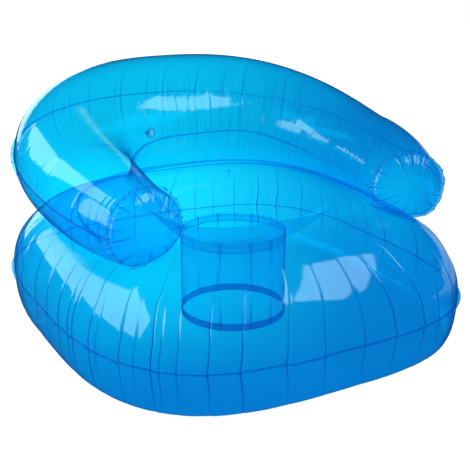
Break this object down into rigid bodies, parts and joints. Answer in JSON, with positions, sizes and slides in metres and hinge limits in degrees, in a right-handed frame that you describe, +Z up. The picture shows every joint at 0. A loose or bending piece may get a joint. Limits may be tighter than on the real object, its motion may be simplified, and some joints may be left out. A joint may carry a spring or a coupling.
{
  "type": "inflatable pool chair",
  "caption": "Inflatable pool armchair of clear blue film: a thick dished seat cushion with a crescent back tube whose ends are the arms, and push-in air valves.",
  "frame": {"origin": "on the floor, under the middle of the whole chair's bounding box", "axes": "+Z up, -Y the way the chair faces, +X towards the sitter's left arm"},
  "size_m": [1.0206, 1.0858, 0.6194],
  "materials": {
    "blue_film": "glossy clear blue PVC film",
    "welded_seam": "two films welded together, darker and ribbed",
    "valve_pvc": "soft clear moulded PVC",
    "plug_pvc": "soft moulded PVC, smooth"
  },
  "bodies": {
    "chair": {"seat_top_sheet": "blue_film", "seat_floor_sheet": "blue_film", "seat_rim_weld": "welded_seam", "seat_centre_disc": "blue_film", "tension_sleeve": "blue_film", "sleeve_top_weld_ring": "welded_seam", "sleeve_floor_weld_ring": "welded_seam", "backrest_upper_sheet": "blue_film", "backrest_lower_sheet": "blue_film", "backrest_outer_weld": "welded_seam", "backrest_inner_weld": "welded_seam", "right_arm_end_cap": "blue_film", "left_arm_end_cap": "blue_film", "right_arm_cap_weld": "welded_seam", "left_arm_cap_weld": "welded_seam", "seat_to_back_weld": "welded_seam", "backrest_valve_flange": "valve_pvc", "seat_valve_flange": "valve_pvc"},
    "backrest_valve_stem": {"backrest_valve_neck": "valve_pvc", "backrest_valve_strap": "valve_pvc"},
    "backrest_valve_cap": {"backrest_valve_plug": "plug_pvc"},
    "backrest_valve_leaf": {"backrest_valve_check_flap": "valve_pvc"},
    "seat_valve_stem": {"seat_valve_neck": "valve_pvc", "seat_valve_strap": "valve_pvc"},
    "seat_valve_cap": {"seat_valve_plug": "plug_pvc"},
    "seat_valve_leaf": {"seat_valve_check_flap": "valve_pvc"}
  },
  "joints": [
    {"name": "backrest_valve_push", "type": "slide", "parent": "chair", "child": "backrest_valve_stem", "axis": [0.276, -0.9603, 0.0402], "range_m": [0, 0.012]},
    {"name": "backrest_valve_plug_hinge", "type": "hinge", "parent": "backrest_valve_stem", "child": "backrest_valve_cap", "pos_m": [-0.14558, 0.13714, 0.46397], "axis": [-0.9611, -0.2762, 0], "range_deg": [0, 150]},
    {"name": "backrest_valve_flap_hinge", "type": "hinge", "parent": "backrest_valve_stem", "child": "backrest_valve_leaf", "pos_m": [-0.15094, 0.15581, 0.45789], "axis": [0.9611, 0.2762, 0], "range_deg": [0, 60], "stiffness_Nm_per_rad": 0.0002},
    {"name": "seat_valve_push", "type": "slide", "parent": "chair", "child": "seat_valve_stem", "axis": [0.1978, 0.531, 0.824], "range_m": [0, 0.012]},
    {"name": "seat_valve_plug_hinge", "type": "hinge", "parent": "seat_valve_stem", "child": "seat_valve_cap", "pos_m": [0.24039, 0.43704, 0.24837], "axis": [0.9371, -0.349, 0], "range_deg": [0, 150]},
    {"name": "seat_valve_flap_hinge", "type": "hinge", "parent": "seat_valve_stem", "child": "seat_valve_leaf", "pos_m": [0.23802, 0.4307, 0.22918], "axis": [-0.9371, 0.349, 0], "range_deg": [0, 60], "stiffness_Nm_per_rad": 0.0002}
  ]
}
